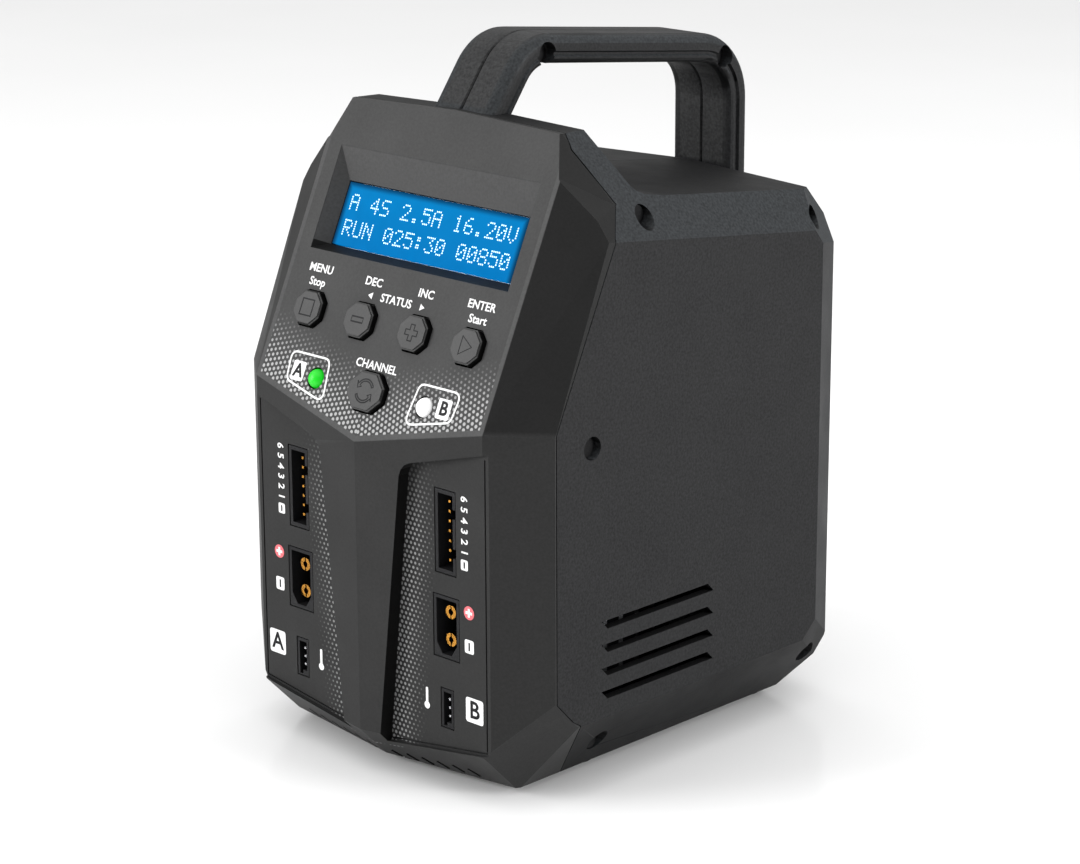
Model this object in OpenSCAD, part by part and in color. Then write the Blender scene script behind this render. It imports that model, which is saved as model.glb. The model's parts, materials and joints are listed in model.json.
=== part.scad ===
// Two-channel balance battery charger, upright, with a carrying handle.
// Millimetres. +X is the object's right as seen from the front, the front faces -Y, +Z is up.
// The floor is z = 0. The case is symmetric about the plane x = 0.

/* [Case] */
// width over the flat side faces
body_w = 108.2; // [90:0.2:130]
// wall thickness of every moulded case part
wall = 2.4; // [1.6:0.1:4]
// backward tilt of the control panel from the vertical, degrees
tilt = 24.8; // [10:0.1:40]
// width of the parting lines between the case parts
seam = 0.3; // [0.2:0.05:0.6]
// underside of the case above the floor
bottom_z = 2.2; // [1:0.1:6]

/* [Handle] */
// thickness of the handle bar, seen from the side
grip_t = 7.4; // [5:0.1:12]
// half the width of the handle bar
grip_w = 10.6; // [7:0.1:16]
// centreline radius of the front bend
bend_front = 12.8; // [8:0.1:20]
// centreline radius of the rear bend
bend_rear = 15.2; // [8:0.1:24]

/* [Controls] */
// height of the four upper buttons above the panel's lower edge
button_t = 19.5; // [14:0.1:26]
// height of the channel button and of the lamps
channel_t = 2.9; // [0:0.1:8]
// button travel
travel = 0.8; // [0.4:0.1:1.5]
// clearance round each button
button_gap = 0.4; // [0.3:0.05:0.8]

/* [Battery ports] */
// sideways distance of each port column from the middle
port_x = 26.6; // [20:0.1:32]
// face of the recessed port panels
port_y = -62.8; // [-66:0.1:-58]
// height of the balance port's middle
balance_z = 68.1; // [60:0.1:76]
// height of the power port's middle
power_z = 43.6; // [36:0.1:52]
// height of the temperature port's middle
temp_z = 22.4; // [16:0.1:30]

/* [Vents and fan] */
// height of the topmost side vent
vent_z = 45.0; // [40:0.1:60]
// distance between the side vents
vent_pitch = 6.1; // [4:0.1:10]
// side length of the square fan
fan_size = 60; // [50:1:70]
// height of the fan's axle
fan_z = 76; // [60:1:90]

/* [Hidden] */

hx = body_w / 2;
far = 260;
$fn = 48;

shell_col = [0.16, 0.165, 0.17];
front_col = [0.22, 0.22, 0.225];
key_col = [0.2, 0.2, 0.2];
board_col = [0.08, 0.3, 0.16];
gold_col = [0.85, 0.62, 0.22];
metal_col = [0.7, 0.71, 0.73];
black_col = [0.03, 0.03, 0.03];

// ---- flat faces that bound the right half of the case, each given by three points on it ----

panel_o = [0, -63.7, 95.5];
ridge_y = -67.7;
shoulder = [40.5, -63.7, 95.5];
panel_up = [0, sin(tilt), cos(tilt)];
crown_a = [36.2, -32.5, 163.0];
crown_b = panel_o + [40.8, 0, 0] + panel_up * 63.5;
crown_c = [48.4, -25.8, 146.1];
crown_e = crown_b - [0.5, 0, 0];
crown_d = [48.6, -35.1, 145.8];
inside = [5, -5, 70];

function cross_n(p) = cross(p[1] - p[0], p[2] - p[0]);
function outward(p) = let (n = cross_n(p)) (n * (p[0] - inside) > 0 ? n : -n) / norm(n);

control_face = [panel_o, shoulder, panel_o + panel_up * 40];
prow_face = [[0, ridge_y, 50], [shoulder[0], shoulder[1], 50], [0, ridge_y, 80]];
low_bevel = [[shoulder[0], shoulder[1], 50], [hx, -52.9, 50], [shoulder[0], shoulder[1], 80]];
high_bevel_a = [shoulder, [hx, -52.7, 95.5], [hx, -34.5, 138.7]];
high_bevel_b = [shoulder, crown_b, [hx, -34.5, 138.7]];
top_bevel = [[hx, -32.0, 139.0], [hx, 43.0, 129.7], [35.8, -24.2, 162.9]];
side_face = [[hx, 0, 60], [hx, 20, 60], [hx, 0, 90]];
foot_bevel = [[hx, -27.6, 19.7], [hx, 40.9, 19.7], [40.8, -27.6, bottom_z]];
bottom_face = [[0, 0, bottom_z], [20, 0, bottom_z], [0, 20, bottom_z]];
chin_face = [[0, ridge_y, 11.2], [41.3, -62.8, 12.5], [40.2, -52.2, 1.6]];
chin_corner = [[40.9, -62.8, 13.7], [hx, -52.7, 27.6], [hx, -46.9, 21.7]];
back_face = [[0, 64.5, 100], [47.9, 58.1, 100], [0, 64.5, 60]];
back_bevel = [[47.9, 58.1, 100], [hx, 46.1, 100], [47.9, 58.1, 60]];
back_top = [[0, 54.0, 139.6], [44.0, 50.6, 138.4], [0, 63.9, 129.8]];
back_top_corner = [[46.9, 46.6, 139.0], [hx, 43.0, 129.7], [hx, 46.1, 126.0]];
back_low = [[0, 64.5, 15], [47.9, 58.1, 15], [0, 52, bottom_z]];
back_low_corner = [[hx, 40.9, 19.7], [hx, 46.2, 24.5], [47.9, 58.1, 16.2]];
deck_face = [[46.9, -13.6, 146.4], [46.9, 46.6, 139.0], [0, -13.6, 147.8]];
hump_top = [[36.2, -32.5, 162.9], [36.2, -23.7, 162.6], [0, -32.5, 164.1]];
hump_back = [[36.0, -23.7, 162.5], [0, -23.7, 162.5], [45.6, -17.0, 148.7]];

convex_faces = [control_face, prow_face, low_bevel, high_bevel_a, high_bevel_b, top_bevel,
    side_face, foot_bevel, bottom_face, chin_face, chin_corner, back_face, back_bevel,
    back_top, back_top_corner, back_low, back_low_corner];

// ---- helpers ----

module both() {
    children();
    mirror([1, 0, 0]) children();
}

// everything behind a face, moved inwards by inset
module behind(face, inset = 0) {
    n = outward(face);
    translate(face[0] - n * inset)
        rotate([0, acos(n[2]), atan2(n[1], n[0])])
            translate([-far, -far, -far]) cube([2 * far, 2 * far, far]);
}

// a profile drawn in (y, z), extruded along X from x0 to x1
module along_x(x0, x1) {
    translate([x0, 0, 0]) rotate([90, 0, 90]) linear_extrude(x1 - x0) children();
}

// a profile drawn in (x, z), extruded along Y from y0 to y1
module along_y(y0, y1) {
    translate([0, y1, 0]) rotate([90, 0, 0]) linear_extrude(y1 - y0) children();
}

// local x stays X, local y runs up the control panel, local z stands out of it
module on_panel() {
    translate(panel_o) rotate([90 - tilt, 0, 0]) children();
}

module box(lo, hi) {
    translate(lo) cube(hi - lo);
}

// the corner between control panel, top bevel and front bevel: two shallow facets
module crown_cut(inset) {
    difference() {
        box([30, -50, 140], [60, -20, 170]);
        behind([crown_a, crown_e, crown_c], inset);
        behind([crown_e, crown_c, crown_d], inset);
    }
}

// right half of the case's outline, offset inwards by inset
module half_case(inset) {
    difference() {
        intersection() {
            box([0, -90, -10], [70, 90, 190]);
            intersection_for (f = convex_faces) behind(f, inset);
            union() {
                behind(deck_face, inset);
                intersection() {
                    behind(hump_top, inset);
                    behind(hump_back, inset);
                }
                if (inset == 0)
                    rotate([0, 1.71, 0]) along_x(-8, 60)
                        polygon([[-20, 140], [-19.1, 153], [-17.9, 151.0], [-16.2, 149.4],
                            [-13.8, 148.3], [-11, 147.65], [-8, 147.15], [-6, 140]]);
            }
        }
        crown_cut(inset);
    }
}

// the parting surface between front housing and side shells, as a profile in (y, z)
seam_line = [[-37.9, -5], [-37.9, 2.6], [-44.5, 20.1], [-46.9, 21.6], [-52.6, 27.6],
    [-52.6, 95.5], [-31.6, 139.8], [-25.6, 146.4], [-31.3, 159.2], [-30.1, 170]];

module front_region() {
    along_x(-80, 80) polygon(concat(seam_line, [[-120, 170], [-120, -5]]));
}

module shell_region() {
    difference() {
        box([-80, -90, -10], [80, 90, 200]);
        translate([0, seam, 0]) front_region();
    }
}

// an octagonal outline: a w by h rectangle with its corners cut by c
module octagon(w, h, c) {
    polygon([[-w / 2 + c, -h / 2], [w / 2 - c, -h / 2], [w / 2, -h / 2 + c], [w / 2, h / 2 - c],
        [w / 2 - c, h / 2], [-w / 2 + c, h / 2], [-w / 2, h / 2 - c], [-w / 2, -h / 2 + c]]);
}

// ---- front housing ----

lcd_x = 31.9;
lcd_lo = 36.9;
lcd_hi = 53.8;
funnel_x = 35.1;
funnel_lo = 34.6;
funnel_hi = 62.0;
funnel_d = 3.4;

// [x, t, width, height, corner cut] of every button
buttons = [[-28.2, button_t, 9.4, 8.8, 2.4], [-9.65, button_t, 9.4, 8.8, 2.4],
    [9.65, button_t, 9.4, 8.8, 2.4], [28.2, button_t, 9.4, 8.8, 2.4],
    [0, channel_t, 12.2, 9.8, 3.2]];
lamp_x = 19.4;
lamp_r = 2.5;

module lcd_funnel() {
    intersection() {
        rotate([90, 0, 90]) translate([0, 0, -60]) linear_extrude(120)
            polygon([[funnel_lo, 2], [funnel_lo, 0], [lcd_lo, -funnel_d], [lcd_lo, -9],
                [lcd_hi, -9], [lcd_hi, -funnel_d], [funnel_hi, 0], [funnel_hi, 2]]);
        rotate([90, 0, 0]) translate([0, 0, -80]) linear_extrude(120)
            polygon([[-funnel_x, 2], [-funnel_x, 0], [-lcd_x, -funnel_d], [-lcd_x, -9],
                [lcd_x, -9], [lcd_x, -funnel_d], [funnel_x, 0], [funnel_x, 2]]);
    }
}

// the recess left and right of the centre bar, on the right half
module port_recess() {
    along_y(-80, port_y)
        polygon([[6.4, 8.8], [70, 17.9], [70, 98.1], [17.6, 84.4], [16.0, 83.6], [14.9, 82.3],
            [14.2, 80.6]]);
}

// a fine groove round the outer and lower edge of the port face
module port_outline() {
    along_y(-80, port_y + 0.5)
        polygon([[7.2, 9.35], [40.65, 14.15], [40.65, 89.2], [40.2, 89.1], [40.2, 14.55], [7.2, 9.8]]);
}

// a slanted slot through the chin, at distance x from the middle
module chin_slot(x, slant) {
    n = outward(chin_face);
    y0 = -59.6 + x * 0.11;
    z0 = 11.2 - (y0 - ridge_y) * 0.985 + x * 0.155;
    translate([x, y0, z0]) rotate([0, acos(n[2]), atan2(n[1], n[0])])
        rotate([0, 0, slant]) translate([-2.0, -0.7, -6]) cube([4.0, 1.4, 9]);
}

module front_housing() color(front_col) {
    difference() {
        union() {
            difference() {
                intersection() {
                    both() half_case(0);
                    front_region();
                }
                intersection() {
                    both() half_case(wall);
                    box([-80, -60.5, -10], [80, 40, 200]);
                }
                // core of the centre bar
                box([-3.6, -64.6, 16], [3.6, -60, 78]);
                both() port_recess();
            }
            // backing of the display recess
            intersection() {
                on_panel() box([-37.4, 32.6, -5.2], [37.4, 64.0, -1]);
                both() half_case(1);
            }
        }
        on_panel() {
            lcd_funnel();
            for (b = buttons) translate([b[0], b[1], -6]) linear_extrude(10)
                octagon(b[2] + 2 * button_gap, b[3] + 2 * button_gap, b[4]);
            // room for the flanges behind the panel
            for (b = buttons) translate([b[0], b[1], -8.2]) linear_extrude(6)
                octagon(b[2] + 3.4, b[3] + 3.4, b[4]);
            for (s = [-1, 1]) translate([s * lamp_x, channel_t, -6])
                cylinder(r = lamp_r + 0.3, h = 10);
        }
        for (s = [-1, 1]) {
            translate([s * port_x, 0, balance_z]) box([-3.75, -70, -10.9], [3.75, -50, 10.9]);
            translate([s * port_x, 0, power_z]) box([-4.65, -70, -8.25], [4.65, -50, 8.25]);
            translate([s * port_x, 0, temp_z]) box([-2.35, -70, -5.3], [2.35, -50, 5.3]);
        }
        // the slots lean the same way left and right
        for (i = [0 : 5]) {
            chin_slot(4.7 + 4.95 * i, 38);
            mirror([1, 0, 0]) chin_slot(4.7 + 4.95 * i, -38);
        }
        both() port_outline();
    }
}

// ---- handle ----

// corner points of the bar's centreline in (y, z), from the front foot to the rear foot
foot_front = [-32.6, 154.0];
bend_1 = [-14.6, 178.2];
bend_2 = [64.0, 168.97];
foot_rear = [64.0, 118.0];

function dir(a, b) = (b - a) / norm(b - a);
function angle_of(d) = atan2(d[1], d[0]);

// half of the bar's cross-section: x across, y towards the inside of the loop
module bar_section() {
    h = grip_t / 2;
    w = grip_w;
    r = 3.0;
    polygon(concat([[0.12, 0.35 - h], [0.5, -h]],
        [for (a = [-90 : 15 : 0]) [w - r + r * cos(a), r - h + r * sin(a)]],
        [[w, 0.5], [w - 0.8, 0.9], [w - 0.8, 1.5], [w - 0.3, 1.9]],
        [for (a = [15 : 25 : 90]) [w - 2.0 + 1.7 * cos(a), h - 1.7 + 1.7 * sin(a)]],
        [[0.5, h], [0.12, h - 0.35]]));
}

module straight(a, b) {
    d = dir(a, b);
    translate([0, a[0], a[1]]) rotate([angle_of(d) - 90, 0, 0])
        linear_extrude(norm(b - a)) bar_section();
}

module bend(p, d1, d2, r) {
    turn = angle_of(d1) - angle_of(d2);
    start = p - d1 * r * tan(turn / 2);
    centre = start + [d1[1], -d1[0]] * r;
    translate([0, centre[0], centre[1]]) rotate([0, 90, 0]) rotate([0, 0, angle_of(d2) + 180])
        rotate_extrude(angle = turn, $fn = 96)
            translate([r, 0]) rotate([0, 0, 90]) bar_section();
}

module handle_half() {
    d1 = dir(foot_front, bend_1);
    d2 = dir(bend_1, bend_2);
    d3 = dir(bend_2, foot_rear);
    t1 = bend_front * tan((angle_of(d1) - angle_of(d2)) / 2);
    t2 = bend_rear * tan((angle_of(d2) - angle_of(d3)) / 2);
    straight(foot_front, bend_1 - d1 * t1);
    bend(bend_1, d1, d2, bend_front);
    straight(bend_1 + d2 * t1, bend_2 - d2 * t2);
    bend(bend_2, d2, d3, bend_rear);
    straight(bend_2 + d3 * t2, foot_rear);
}

// ---- side shells ----

// [depth of the screw seat in x, y, z] of the screws in each side
side_screws = [[50.2, -40.0, 89.9], [45.6, -17.7, 142.3], [45.0, 46.3, 132.2],
    [42.6, -30.7, 10.4], [44.0, 48.4, 13.2]];
// screws that pull the two handle halves together, from the right
grip_screws = [[5.2, -9.8, 176.4], [5.2, 57.6, 167.6]];
screw_len = 8;

module x_cyl(x0, x1, y, z, r) {
    translate([x0, y, z]) rotate([0, 90, 0]) cylinder(r = r, h = x1 - x0);
}

module screw(s) {
    x_cyl(s[0] + 0.05, s[0] + 2.0, s[1], s[2], 2.6);
    x_cyl(s[0] - screw_len, s[0] + 0.5, s[1], s[2], 1.4);
}

module screw_hole(s) {
    x_cyl(s[0], s[0] + 25, s[1], s[2], 2.95);
    x_cyl(s[0] - screw_len - 1, s[0] + 1, s[1], s[2], 1.6);
}

module side_vents() {
    for (i = [0 : 3]) translate([0, 0, vent_z - i * vent_pitch])
        along_x(hx - 6, hx + 2)
            polygon([[-36.7, 0], [2.7, 0], [4.9, -2.25], [-34.5, -2.25]]);
}

foot_pos = [[33, -24], [33, 42]];

// right half of the case without the handle's screw holes
module shell_half() {
    difference() {
        intersection() {
            union() {
                difference() {
                    half_case(0);
                    half_case(wall);
                }
                // collar round the back opening
                intersection() {
                    half_case(0);
                    box([-1, 56.7, 15], [41.5, 70, 115.5]);
                }
                intersection() {
                    half_case(0);
                    for (s = side_screws) x_cyl(s[0] - screw_len + 2, 60, s[1], s[2], 4.6);
                }
                // posts under the main board
                for (y = [-32, 36]) translate([30, y, bottom_z + 1]) cylinder(r = 3, h = 5.6);
            }
            box([0.12, -90, -10], [80, 90, 200]);
            shell_region();
        }
        // back opening
        box([-1, 50, 18], [38.2, 70, 112.5]);
        for (s = side_screws) screw_hole(s);
        side_vents();
        for (p = foot_pos) translate([p[0], p[1], 0]) cylinder(r = 5.3, h = bottom_z + 0.9);
    }
    difference() {
        intersection() {
            handle_half();
            shell_region();
        }
        // trim below the hump's roof and behind the back wall
        box([-1, -40, 140], [20, 0, 160.8]);
        box([-1, 50, 100], [20, 61.5, 134.5]);
        along_x(-1, 20) polygon([[62, 110], [62, 116], [70, 126], [70, 110]]);
    }
}

module right_shell() color(shell_col) difference() {
    shell_half();
    for (s = grip_screws) screw_hole(s);
}

module left_shell() color(shell_col) difference() {
    mirror([1, 0, 0]) shell_half();
    for (s = grip_screws) x_cyl(-4, 1, s[1], s[2], 1.6);
}

module case_screws() color(black_col) {
    for (s = side_screws) both() screw(s);
    for (s = grip_screws) screw(s);
}

module rubber_feet() color(black_col)
    for (p = foot_pos) both() translate([p[0], p[1], 0]) {
        cylinder(r = 4.4, h = 0.61);
        translate([0, 0, 0.6]) cylinder(r = 5, h = bottom_z + 0.2);
    }

// ---- back panel, fan and mains inlet ----

inlet_x = 0;
inlet_z = 30;
plate_y = 54.2;
plate_t = 2.2;

module back_panel() color(shell_col) {
    difference() {
        union() {
            box([-40.4, plate_y, 16.3], [40.4, plate_y + plate_t, 114.6]);
            box([-37.8, plate_y, 18.4], [37.8, plate_y + plate_t + 1.2, 112.1]);
        }
        // fan grille: rings held by eight spokes
        translate([0, plate_y - 1, fan_z]) rotate([-90, 0, 0]) difference() {
            union() for (r = [9, 13.4, 17.8, 22.2, 26.6])
                difference() {
                    cylinder(r = r + 3.1, h = 8);
                    translate([0, 0, -1]) cylinder(r = r, h = 10);
                }
            for (a = [0 : 45 : 179]) rotate([0, 0, a]) translate([-32, -1, -1]) cube([64, 2, 10]);
        }
        for (x = [-1, 1], z = [-1, 1])
            translate([x * (fan_size / 2 - 5), plate_y - 1, fan_z + z * (fan_size / 2 - 5)])
                rotate([-90, 0, 0]) cylinder(r = 1.7, h = 10);
        box([inlet_x - 14.3, plate_y - 1, inlet_z - 10.3], [inlet_x + 14.3, 70, inlet_z + 10.3]);
    }
}

fan_y0 = plate_y - 0.2 - 15;

module fan_frame() color(black_col) {
    translate([0, fan_y0, fan_z]) rotate([-90, 0, 0]) difference() {
        union() {
            difference() {
                translate([-fan_size / 2, -fan_size / 2, 0]) cube([fan_size, fan_size, 15]);
                translate([0, 0, -1]) cylinder(r = 28.6, h = 17);
            }
            // motor carrier on three struts
            cylinder(r = 12.5, h = 2.4);
            for (a = [30 : 120 : 359]) rotate([0, 0, a]) translate([0, -1.5, 0]) cube([29.5, 3, 2.2]);
            cylinder(r = 3.2, h = 8);
        }
        for (x = [-1, 1], z = [-1, 1])
            translate([x * (fan_size / 2 - 5), z * (fan_size / 2 - 5), -1]) cylinder(r = 1.7, h = 17);
    }
}

module fan_rotor() color(black_col) {
    translate([0, fan_y0, fan_z]) rotate([-90, 0, 0]) {
        difference() {
            translate([0, 0, 2.9]) cylinder(r = 13.5, h = 11);
            translate([0, 0, 2]) cylinder(r = 11.5, h = 10.2);
        }
        // bearing sleeve round the frame's post
        difference() {
            translate([0, 0, 8.3]) cylinder(r = 4.6, h = 4.2);
            translate([0, 0, 2]) cylinder(r = 3.24, h = 6.4);
        }
        for (i = [0 : 6]) rotate([0, 0, i * 360 / 7]) intersection() {
            translate([12.8, 0, 8.2]) rotate([35, 0, 0]) translate([0, -7.5, -0.7])
                cube([20, 15, 1.4]);
            translate([0, 0, 3.2]) cylinder(r = 27.4, h = 10.2);
        }
    }
}

module fan_screws() color(metal_col)
    for (x = [-1, 1], z = [-1, 1])
        translate([x * (fan_size / 2 - 5), 0, fan_z + z * (fan_size / 2 - 5)])
            rotate([-90, 0, 0]) {
                translate([0, 0, plate_y + plate_t + 1.22]) cylinder(r = 2.9, h = 1.6);
                translate([0, 0, fan_y0 + 1]) cylinder(r = 1.5, h = plate_y + plate_t + 1.5 - fan_y0 - 1);
            }

module mains_inlet() color(black_col) translate([inlet_x, 0, inlet_z]) {
    difference() {
        union() {
            box([-13.9, 38.5, -9.9], [13.9, 58, 9.9]);
            along_y(57.62, 60.2) octagon(32, 24, 3);
        }
        // cavity for the mains plug, upper corners cut
        along_y(42.5, 62)
            polygon([[-12, -8], [12, -8], [12, 4], [8, 8], [-8, 8], [-12, 4]]);
        for (p = [[-7, -2], [7, -2], [0, 2]])
            box([p[0] - 1.2, 36, p[1] - 2.3], [p[0] + 1.2, 44, p[1] + 2.3]);
    }
}

module inlet_blades() color(metal_col) translate([inlet_x, 0, inlet_z])
    for (p = [[-7, -2], [7, -2], [0, 2]])
        box([p[0] - 1, 34.5, p[1] - 2], [p[0] + 1, 56.5, p[1] + 2]);

// ---- display and control board ----

module lcd_window() color([0.05, 0.45, 0.85])
    on_panel() box([-31.6, 37.2, -5.2], [31.6, 53.5, -3.5]);

module lcd_frame() color(metal_col) on_panel()
    difference() {
        box([-36.4, 34.0, -8.6], [36.4, 57.5, -5.3]);
        box([-33, 36, -6.4], [33, 55, -5]);
    }

module lcd_board() color(board_col)
    on_panel() box([-38, 32.5, -10.3], [38, 60.5, -8.7]);

module control_board() color(board_col)
    on_panel() box([-37, -4, -9.6], [37, 30.5, -8]);

module tact_switches() color(black_col)
    on_panel() for (b = buttons) translate([b[0], b[1], 0]) {
        box([-3, -3, -7.95], [3, 3, -5.1]);
        translate([0, 0, -5.2]) cylinder(r = 1.7, h = 0.6);
    }

// a button: cap, chamfered rim and the flange that holds it behind the panel
module button(b) {
    on_panel() translate([b[0], b[1], 0]) {
        translate([0, 0, -3.4]) linear_extrude(0.7) octagon(b[2] + 2.4, b[3] + 2.4, b[4]);
        translate([0, 0, -2.8]) linear_extrude(4.1) octagon(b[2], b[3], b[4]);
        translate([0, 0, 1.2]) linear_extrude(0.45) octagon(b[2] - 0.7, b[3] - 0.7, b[4]);
    }
}

module stop_button() color(key_col) button(buttons[0]);
module dec_button() color(key_col) button(buttons[1]);
module inc_button() color(key_col) button(buttons[2]);
module start_button() color(key_col) button(buttons[3]);
module channel_button() color(key_col) button(buttons[4]);

module lamp(s) {
    on_panel() translate([s * lamp_x, channel_t, 0]) {
        translate([0, 0, -6]) cylinder(r = 2.9, h = 1);
        translate([0, 0, -5.5]) cylinder(r = lamp_r, h = 4.7);
        intersection() {
            translate([0, 0, -0.9]) sphere(r = lamp_r);
            translate([0, 0, -0.9]) cylinder(r = 3, h = 4);
        }
        for (x = [-1.27, 1.27]) translate([x - 0.25, -0.25, -7.95]) cube([0.5, 0.5, 2.5]);
    }
}

module led_a() color([0.1, 0.9, 0.1]) lamp(-1);
module led_b() color([0.95, 0.95, 0.95]) lamp(1);

// ---- battery ports: both columns face forwards and are not mirrored ----

board_y = -52.8;

module at_port(s, z) {
    translate([s * port_x, 0, z]) children();
}

// pin header shroud with an open side slit, seven pins at 2.5 pitch
module balance_socket() {
    difference() {
        box([-3.45, port_y + 0.1, -10.6], [3.45, board_y - 0.1, 10.6]);
        box([-2.55, port_y - 1, -9.6], [2.55, board_y - 2, 9.6]);
        for (z = [-5, 5]) box([1, port_y - 1, z - 1.2], [5, board_y - 3, z + 1.2]);
        for (i = [-3 : 3]) box([-0.42, -60, i * 2.5 - 0.42], [0.42, -50, i * 2.5 + 0.42]);
    }
}

module balance_pins()
    for (i = [-3 : 3]) box([-0.32, port_y + 1.6, i * 2.5 - 0.32], [0.32, board_y + 2.6, i * 2.5 + 0.32]);

// two-pole power socket, lower corners cut
module power_socket() {
    difference() {
        box([-4.35, port_y + 0.1, -7.95], [4.35, board_y - 0.1, 7.95]);
        along_y(port_y - 1, board_y - 2)
            polygon([[-3.5, 7.1], [3.5, 7.1], [3.5, -4.3], [1.6, -7.1], [-1.6, -7.1], [-3.5, -4.3]]);
        for (z = [-3.6, 3.6]) translate([0, board_y - 4, z]) rotate([-90, 0, 0])
            cylinder(r = 1.6, h = 6);
    }
}

// split round contacts
module power_contacts()
    for (z = [-3.6, 3.6]) translate([0, 0, z]) difference() {
        union() {
            translate([0, port_y + 1.6, 0]) rotate([-90, 0, 0]) cylinder(r = 1.75, h = 6.1);
            translate([0, port_y + 6, 0]) rotate([-90, 0, 0]) cylinder(r = 1.5, h = 7.5);
        }
        translate([0, port_y + 1, 0]) rotate([-90, 0, 0]) cylinder(r = 0.8, h = 4);
        box([-0.2, port_y, -3], [0.2, port_y + 5, 3]);
    }

// three-pin header with a keying tab below
module temp_socket() {
    difference() {
        box([-2.05, port_y + 0.1, -5.0], [2.05, board_y - 0.1, 5.0]);
        box([-1.35, port_y - 1, -3.6], [1.35, board_y - 2, 4.2]);
        box([-1.35, port_y - 1, -4.6], [-0.2, board_y - 4, -3.5]);
        for (i = [-1 : 1]) box([0.1, -60, i * 2.2 - 0.1], [0.9, -50, i * 2.2 + 0.7]);
    }
}

module temp_pins()
    for (i = [-1 : 1]) box([0.2, port_y + 0.4, i * 2.2], [0.8, board_y + 2.6, i * 2.2 + 0.6]);

module balance_socket_a() color(black_col) at_port(-1, balance_z) balance_socket();
module balance_socket_b() color(black_col) at_port(1, balance_z) balance_socket();
module balance_pins_a() color(gold_col) at_port(-1, balance_z) balance_pins();
module balance_pins_b() color(gold_col) at_port(1, balance_z) balance_pins();
module power_socket_a() color(black_col) at_port(-1, power_z) power_socket();
module power_socket_b() color(black_col) at_port(1, power_z) power_socket();
module power_contacts_a() color(gold_col) at_port(-1, power_z) power_contacts();
module power_contacts_b() color(gold_col) at_port(1, power_z) power_contacts();
module temp_socket_a() color(black_col) at_port(-1, temp_z) temp_socket();
module temp_socket_b() color(black_col) at_port(1, temp_z) temp_socket();
module temp_pins_a() color(metal_col) at_port(-1, temp_z) temp_pins();
module temp_pins_b() color(metal_col) at_port(1, temp_z) temp_pins();

// ---- electronics inside ----

board_z = 10.6;

module port_board() color(board_col) difference() {
    box([-40, board_y, 14], [40, board_y + 1.6, 82]);
    for (s = [-1, 1]) {
        at_port(s, balance_z) for (i = [-3 : 3])
            box([-0.45, -60, i * 2.5 - 0.45], [0.45, -45, i * 2.5 + 0.45]);
        at_port(s, power_z) for (z = [-3.6, 3.6])
            translate([0, -60, z]) rotate([-90, 0, 0]) cylinder(r = 1.65, h = 12);
        at_port(s, temp_z) for (i = [-1 : 1])
            box([0, -60, i * 2.2 - 0.2], [1, -45, i * 2.2 + 0.8]);
    }
}

module main_board() color(board_col)
    box([-33.8, -44, board_z - 1.6], [33.8, 38, board_z]);

module heat_sinks() color(metal_col) both() {
    box([24, -38, board_z + 0.1], [26.5, 6, board_z + 38]);
    for (i = [0 : 7]) box([26.4, -38 + i * 6, board_z + 0.1], [33.4, -36.4 + i * 6, board_z + 38]);
}

module transformer() color([0.75, 0.6, 0.2]) {
    difference() {
        box([-16, -24, board_z + 2], [16, 4, board_z + 28]);
        box([-10.5, -26, board_z + 7], [10.5, 6, board_z + 23]);
    }
    box([-10, -26, board_z + 0.1], [10, 6, board_z + 22.5]);
}

module capacitors() color(black_col)
    for (x = [-13, 13]) translate([x, 21, board_z + 0.1]) cylinder(r = 9, h = 34);

module inductors() color([0.7, 0.35, 0.12])
    for (x = [-12, 12]) translate([x, -35, board_z + 0.1]) difference() {
        cylinder(r = 7.5, h = 11);
        translate([0, 0, -1]) cylinder(r = 3, h = 13);
    }

module buzzer() color(black_col)
    translate([27.8, 30, board_z + 0.1]) difference() {
        cylinder(r = 5.5, h = 8);
        translate([0, 0, 6.5]) cylinder(r = 1.2, h = 3);
    }

front_housing();
left_shell();
right_shell();
back_panel();
lcd_window();
lcd_frame();
lcd_board();
control_board();
tact_switches();
stop_button();
dec_button();
inc_button();
start_button();
channel_button();
led_a();
led_b();
balance_socket_a();
balance_socket_b();
balance_pins_a();
balance_pins_b();
power_socket_a();
power_socket_b();
power_contacts_a();
power_contacts_b();
temp_socket_a();
temp_socket_b();
temp_pins_a();
temp_pins_b();
port_board();
main_board();
heat_sinks();
transformer();
capacitors();
inductors();
buzzer();
fan_frame();
fan_rotor();
fan_screws();
mains_inlet();
inlet_blades();
case_screws();
rubber_feet();
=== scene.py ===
"""Looks of the two-channel balance battery charger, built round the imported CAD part. Metres, CAD frame."""

import json
import math

import bpy
from mathutils import Matrix, Vector


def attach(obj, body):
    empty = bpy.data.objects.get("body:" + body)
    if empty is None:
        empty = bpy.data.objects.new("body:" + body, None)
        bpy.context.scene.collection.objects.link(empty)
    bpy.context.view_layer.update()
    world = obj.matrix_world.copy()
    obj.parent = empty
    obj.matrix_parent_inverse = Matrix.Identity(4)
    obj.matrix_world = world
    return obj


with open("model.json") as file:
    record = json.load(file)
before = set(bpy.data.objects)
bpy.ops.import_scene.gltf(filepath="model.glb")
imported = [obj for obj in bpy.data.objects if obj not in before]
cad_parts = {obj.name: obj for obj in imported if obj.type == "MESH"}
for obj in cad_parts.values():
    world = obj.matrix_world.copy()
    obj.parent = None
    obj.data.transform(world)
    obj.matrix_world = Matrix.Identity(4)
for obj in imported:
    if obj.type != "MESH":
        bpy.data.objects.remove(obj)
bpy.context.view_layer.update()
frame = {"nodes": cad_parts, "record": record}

MM = 0.001
CASE = "case"

# ---- places on the control panel and on the recessed port panels, in millimetres ----

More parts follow.
